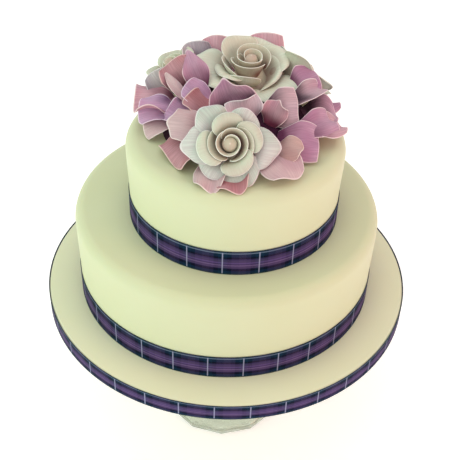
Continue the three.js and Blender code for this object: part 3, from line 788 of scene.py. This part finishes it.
TOP_ROSE = [
    tight(9, 15, 60, 150, twist=2),
    tight(12.5, 14.5, 250, 120, twist=1.4),
    tight(18, 14.5, 75, 90, twist=1.6),
    tight(18.5, 13, -110, 88, twist=1.8),
    open_petal(25.5, 11.5, 195, 52, flare=0.1, twist=1.8, roll=1),
    open_petal(25, 9.5, -105, 48, flare=0.1, twist=1.5, roll=1),
    open_petal(27, 9, -5, 72, flare=0.3, twist=5, roll=4),
    open_petal(34, 15, 120, 48, flare=0.4, twist=2, roll=2, ruffle=1),
    open_petal(34, 11, 24, 50, flare=0.7, twist=2, roll=2.5, ruffle=0.8),
    open_petal(33, 6, 215, 42, flare=0.7, twist=2, roll=1.5, ruffle=1),
    open_petal(40, 7, 76, 42, flare=0.8, twist=2, roll=2, ruffle=1),
    open_petal(50, 0, -45, 42, flare=0.9, twist=2, roll=3, ruffle=1.2),
    open_petal(50, 2, 170, 38, flare=0.9, twist=2, roll=3, ruffle=1, point=6),
    open_petal(46, 0, 206, 40, flare=0.9, twist=2, roll=3, ruffle=1.4),
    open_petal(42, -3, -105, 40, flare=0.8, twist=2, roll=3, ruffle=1.2),
]
SMALL_ROSE = [
    tight(9, 12, 60, 150, twist=2),
    open_petal(17, 11, 60, 95, flare=0.1, twist=1.5, roll=1),
    open_petal(17, 11, 240, 95, flare=0.1, twist=1.5, roll=1),
    open_petal(31, 11, 20, 44, flare=0.4, twist=2, roll=2.5, ruffle=0.8),
    open_petal(31, 11, 92, 44, flare=0.4, twist=2, roll=2.5, ruffle=0.8),
    open_petal(31, 11, 164, 44, flare=0.4, twist=2, roll=2.5, ruffle=0.8, phase=90),
    open_petal(31, 11, 236, 44, flare=0.4, twist=2, roll=2.5, ruffle=0.8),
    open_petal(31, 11, 308, 44, flare=0.4, twist=2, roll=2.5, ruffle=0.8),
]
HEART_RIM = 20  # petals with smaller rims are the rose's heart


def make_rose(name, centre, axis, petals, turn=0, size=1.0, body=ivory,
              grey_from=math.inf):
    """`grey_from` is the reach from which petals are grey lilac."""
    up = Vector(axis).normalized()
    right = (Vector((1, 0, 0)) - up * up.x).normalized()
    right.rotate(Matrix.Rotation(math.radians(turn), 3, up))
    back = up.cross(right)
    middle = FLOWER_MIDDLE + Vector(centre)
    rose = [np.array(v) for v in (middle, up, right, back)] + [size]
    parts = [(*bud(rose), 1)]
    for petal in petals:
        number = 2 if petal["rim"] > grey_from else 3 if petal["rim"] < HEART_RIM else 0
        parts.append((*rose_petal(rose, **petal), number))
    piece = flower_piece(f"sugar_{name}", parts, [body, ivory_tip, grey_lilac, ivory_heart_painted_shade])
    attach(piece, "root")
    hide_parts(name)


make_rose("front_rose", (-5, -63, 28), (0, -0.788, 0.616), FRONT_ROSE, grey_from=30)
make_rose("top_rose", (11, 46, 37.5), (0.03, -0.12, 0.99), TOP_ROSE, body=warm_ivory)
make_rose("left_rose", (-60, 62, 26), (-0.45, 0, 0.85), SMALL_ROSE, turn=12, size=0.75)
make_rose("right_rose", (58, 58, 24), (0.6, 0.45, 0.6), SMALL_ROSE, turn=12, size=1.0)

# ---------------------------------------------------------------- loose petals
# Wide wavy petals of mauve and lilac sugar paste, rolled thin and veined, darker plum towards
# the root, partly dust and partly painted shade in the hollows, with a painted highlight along the
# rim. They stand and lie between and round the roses.
PETAL_CELLS = (30, 26)
PLEATS = 1.5  # waves across a petal
WIDEST_AT = 0.55  # of the petal's length, where it has stopped widening from the root
ROUNDNESS = 0.8  # the lower, the sooner it widens from the root
ROOT_CUP = 0.35  # share of the cupping at the root
RUFFLE_CENTRE = 0.15  # from the middle towards the root; the ruffles fan out from there
RUFFLE_GROWTH = 2.2  # along the petal, from none at the root
LEAST_BEND = 1e-5  # so that a flat petal isn't divided by nothing
mauve = sugar("mauve_sugar", "5a1c46", "cfa3bd", "f6dae3", "c08aab", vein=1.5, dusting_and_shade=(0.1, 0.8))
pink = sugar("pink_sugar", "6a2240", "ddb2c0", "fae2e4", "cf98aa", vein=1.4, dusting_and_shade=(0.1, 0.8))
lilac = sugar("lilac_sugar", "5f3064", "cfabcd", "f4def2", "d8aace",
              vein=1.4, dusting_and_shade=(0.1, 0.75))
red = sugar("rose_dusted_sugar", "5f1d34", "ca98a2", "f4d4d0", "c0828a",
            vein=1.5, dusting_and_shade=(0.1, 0.8))
pale = sugar("pale_mauve_sugar", "7a4258", "dcc0c4", "fae8e8", "d0aab4",
             vein=1.2, dusting_and_shade=(0.05, 0.7))
# These two take a near-black root colour over much of the petal: painted shade for petals that lie
# in the deepest hollows.
plum_rooted_painted_shade = sugar("plum_rooted_sugar_painted_shade", "2a0622", "d0a4bc", "f6dae3", "c08aab",
               vein=1.5, dusting_and_shade=(0.3, 1.0))
pale_plum_painted_shade = sugar("pale_plum_sugar_painted_shade", "330a2a", "d8b8c4", "fae6ec", "cfa6b8",
                  vein=1.4, dusting_and_shade=(0.15, 0.8))
peach = sugar("peach_mauve_sugar", "6a2e3e", "d6b4b0", "fae4dc", "cba09e",
              vein=1.3, dusting_and_shade=(0.05, 0.7))
lilac_grey = sugar("lilac_grey_sugar", "5c3450", "e0ccd8", "fbeff6", "d4b8c8",
                   vein=1.2, dusting_and_shade=(0, 0.6))
grey = sugar("grey_mauve_sugar", "4a1c4a", "b8aab8", "e8e0e6", "cbc4c6",
             vein=1.4, dusting_and_shade=(0.15, 0.85))


def petal_place(root, tip, width, turn=0, arch=0.0, cup=(20, 20), taper=0.45,
                ruffle=2.6, waves=4, phase=0, pleat=1.2, point=0.0, fullness=0.75):
    """The middle surface of a petal that runs from its root to its tip. `turn` rolls its face
    about that line, `arch` bends it along, `cup` bends its two sides up, `ruffle`
    waves its rim, `pleat` folds it lengthwise, and `fullness` is 0 for square corners and 2
    for a leaf."""
    start = FLOWER_MIDDLE + Vector(root)
    run = FLOWER_MIDDLE + Vector(tip) - start
    length = run.length
    forward = run.normalized()
    face = (Vector((0, 0, 1)) - forward * forward.z).normalized()
    face.rotate(Matrix.Rotation(math.radians(turn), 3, forward))
    side = forward.cross(face)
    start, forward, face, side = (np.array(v) for v in (start, forward, face, side))

    def place(s, t):
        x, y = outline(s, t, fullness)
        v = along_petal(x, y, point / length)
        widening = taper + (1 - taper) * np.clip(v / WIDEST_AT, 0, 1) ** ROUNDNESS
        across = width / 2 * x * widening
        curl = np.radians(np.where(across < 0, cup[0], cup[1]))
        bend = curl / (width / 2) * (ROOT_CUP + (1 - ROOT_CUP) * v)
        bend = np.where(abs(bend) < LEAST_BEND, LEAST_BEND, bend)
        edge = x * x + y * y
        ripple = np.sin(waves * np.arctan2(x, y + RUFFLE_CENTRE) + math.radians(phase))
        wave = ruffle * edge * edge * ripple * np.clip(v * RUFFLE_GROWTH, 0, 1)
        wave = wave + pleat * v * np.sin(PLEATS * math.pi * x + math.radians(phase))
        lift = arch * length * 4 * v * (1 - v) + (1 - np.cos(bend * across)) / bend + wave
        sideways = np.sin(bend * across) / bend
        return (start + (v * length)[..., None] * forward + sideways[..., None] * side
                + lift[..., None] * face)

    return place


PETALS = {
    "left_outer_high": (pink, dict(root=(-52, 16, 12), tip=(-91, 12, 19), width=50, turn=-5,
                                   arch=0.12, cup=(50, 10), ruffle=3, fullness=0.3)),
    "left_outer_low": (lilac, dict(root=(-50, 4, 12), tip=(-86, -2, 19), width=34, turn=-10,
                                   arch=0.15, cup=(-20, 50), ruffle=3, phase=30, pleat=2)),
    "left_grey": (grey, dict(root=(-60, 34, 12), tip=(-76, 43, 33), width=30, turn=-40, arch=0.1,
                             cup=(30, 40))),
    "left_round": (red, dict(root=(-40, 22, 22), tip=(-60, 43, 44), width=38, turn=-30, arch=0.15,
                             cup=(40, 30))),
    "left_tall": (mauve, dict(root=(-28, 14, 25), tip=(-45, 43, 53), width=25, turn=-20, arch=0.1,
                              cup=(30, 40), taper=0.8, ruffle=1.5, pleat=1.5, point=3,
                              fullness=1.5)),
    "left_folded": (pale, dict(root=(-42, -4, 30), tip=(-64, 26, 41), width=10, turn=-30,
                               cup=(30, -10), taper=0.9, ruffle=0.6, pleat=0.6, fullness=1.2)),
    "left_low_lilac": (pale, dict(root=(-46, -4, 10), tip=(-81, -10, 8), width=34, turn=-5,
                                  arch=0.12, cup=(-20, 30), ruffle=3.5, waves=3)),
    "left_inner_lilac": (lilac, dict(root=(-38, -10, 14), tip=(-60, -4, 24), width=34, turn=-25,
                                     cup=(40, 30), ruffle=3.5, pleat=2)),
    "left_front_pale": (pale, dict(root=(-24, -34, 20), tip=(-54, -34, 30), width=38, turn=-25,
                                   arch=0.12, cup=(-30, -30), point=4)),
    "front_left_red": (red, dict(root=(-30, -36, 14), tip=(-56, -53, 5), width=46, turn=-4,
                                 arch=0.12, cup=(20, -20), fullness=0.4)),
    "front_low_left": (pale, dict(root=(-17, -56, 5), tip=(-23, -90, 1), width=28, arch=0.1,
                                  cup=(20, 20))),
    "front_low_red": (red, dict(root=(-4, -62, 3), tip=(-1, -93, 2), width=30, turn=10, arch=0.08,
                                cup=(20, 30))),
    "front_right_low": (pale, dict(root=(24, -46, 12), tip=(46, -80, 8), width=38, turn=10,
                                   arch=0.1, cup=(-20, 20))),
    "front_right_ridge": (peach, dict(root=(30, -48, 12), tip=(55, -54, 19), width=26, turn=25,
                                      arch=0.12, cup=(-20, 20), ruffle=2)),
    "right_front_broad": (mauve, dict(root=(34, -34, 14), tip=(70, -34, 13), width=38, turn=25,
                                      arch=0.1, cup=(-10, -20), ruffle=1.5, fullness=0.3)),
    "right_upright": (pale_plum_painted_shade, dict(root=(25, -4, 22), tip=(52, -8, 32), width=36, turn=45,
                                      arch=0.15, cup=(30, -10), ruffle=1, pleat=1, fullness=0.2)),
    "right_fold_high": (pale_plum_painted_shade, dict(root=(47, 0, 31), tip=(75, 16, 36), width=26, turn=10,
                                        arch=0.05, cup=(50, 90), ruffle=1, fullness=0.4)),
    "right_outer": (mauve, dict(root=(50, -24, 13), tip=(84, -4, 16), width=28, turn=30,
                                arch=0.15, cup=(10, 50), ruffle=2, pleat=2, fullness=0.4)),
    "right_high": (mauve, dict(root=(46, 24, 26), tip=(71, 31, 40), width=36, turn=20, arch=0.12,
                               cup=(20, 30), ruffle=1.5, pleat=1, phase=60)),
    "right_low_side": (plum_rooted_painted_shade, dict(root=(54, 14, 8), tip=(90, 16, 8), width=42, turn=10,
                                    arch=0.12, cup=(30, 30))),
    "right_outer_low": (pink, dict(root=(54, -16, 8), tip=(95, -4, 10), width=38, arch=0.1,
                                   cup=(20, 30))),
    "centre_arch": (plum_rooted_painted_shade, dict(root=(6, -6, 24), tip=(-10, -11, 54), width=44, turn=-115,
                                 arch=0.1, cup=(40, 30), ruffle=2, pleat=1.5, point=5)),
    "centre_ruffle": (lilac_grey, dict(root=(9, -22, 24), tip=(3, -22, 47), width=34, turn=-70,
                                       cup=(20, 40), ruffle=2.5, phase=60, pleat=1.5,
                                       fullness=0.5)),
    "centre_left": (red, dict(root=(-20, -10, 18), tip=(-43, -2, 37), width=30, turn=-15,
                              cup=(30, 20))),
    "centre_left_lilac": (lilac, dict(root=(-22, 2, 26), tip=(-46, 8, 40), width=26, turn=-40,
                                      cup=(40, 20), ruffle=2)),
    "right_inner": (pink, dict(root=(28, -18, 18), tip=(35, -13, 38), width=24, turn=35,
                               cup=(40, 40), point=3, fullness=0.4)),
    "back_left_dark": (grey, dict(root=(-33, 64, 10), tip=(-42, 80, 45), width=34, turn=-10,
                                  arch=0.1, cup=(40, 20), pleat=2)),
    "back_left_pink": (pink, dict(root=(-18, 74, 10), tip=(-20, 92, 46), width=36, turn=-10,
                                  arch=0.1, cup=(30, 30))),
    "back_right_pink": (pink, dict(root=(26, 78, 8), tip=(25, 98, 47), width=36, arch=0.15,
                                   cup=(40, 30), fullness=0.5)),
    "back_low_1": (mauve, dict(root=(62, 30, 4), tip=(92, 46, 4), width=30, arch=0.1,
                               cup=(10, 10))),
    "back_low_2": (lilac, dict(root=(28, 60, 6), tip=(40, 93, 8), width=32, turn=-6, arch=0.15,
                               cup=(10, 10))),
    "back_low_3": (mauve, dict(root=(10, 60, 6), tip=(12, 97, 7), width=32, turn=6, arch=0.15,
                               cup=(20, 10))),
    "back_low_4": (pale, dict(root=(-10, 60, 6), tip=(-16, 96, 8), width=32, turn=-6, arch=0.15,
                              cup=(10, 20))),
    "back_low_5": (mauve, dict(root=(-26, 56, 6), tip=(-42, 88, 7), width=32, turn=-6, arch=0.15,
                               cup=(10, 20))),
    "back_middle": (pink, dict(root=(2, 70, 8), tip=(0, 98, 20), width=34, arch=0.15,
                               cup=(30, 20))),
}

for name, (finish, shape) in PETALS.items():
    petal = sheet(petal_place(**shape), PETAL_CELLS)
    piece = flower_piece(f"loose_{name}", [(*petal, 0)], [finish])
    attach(piece, "root")
    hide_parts(f"petal_{name}")
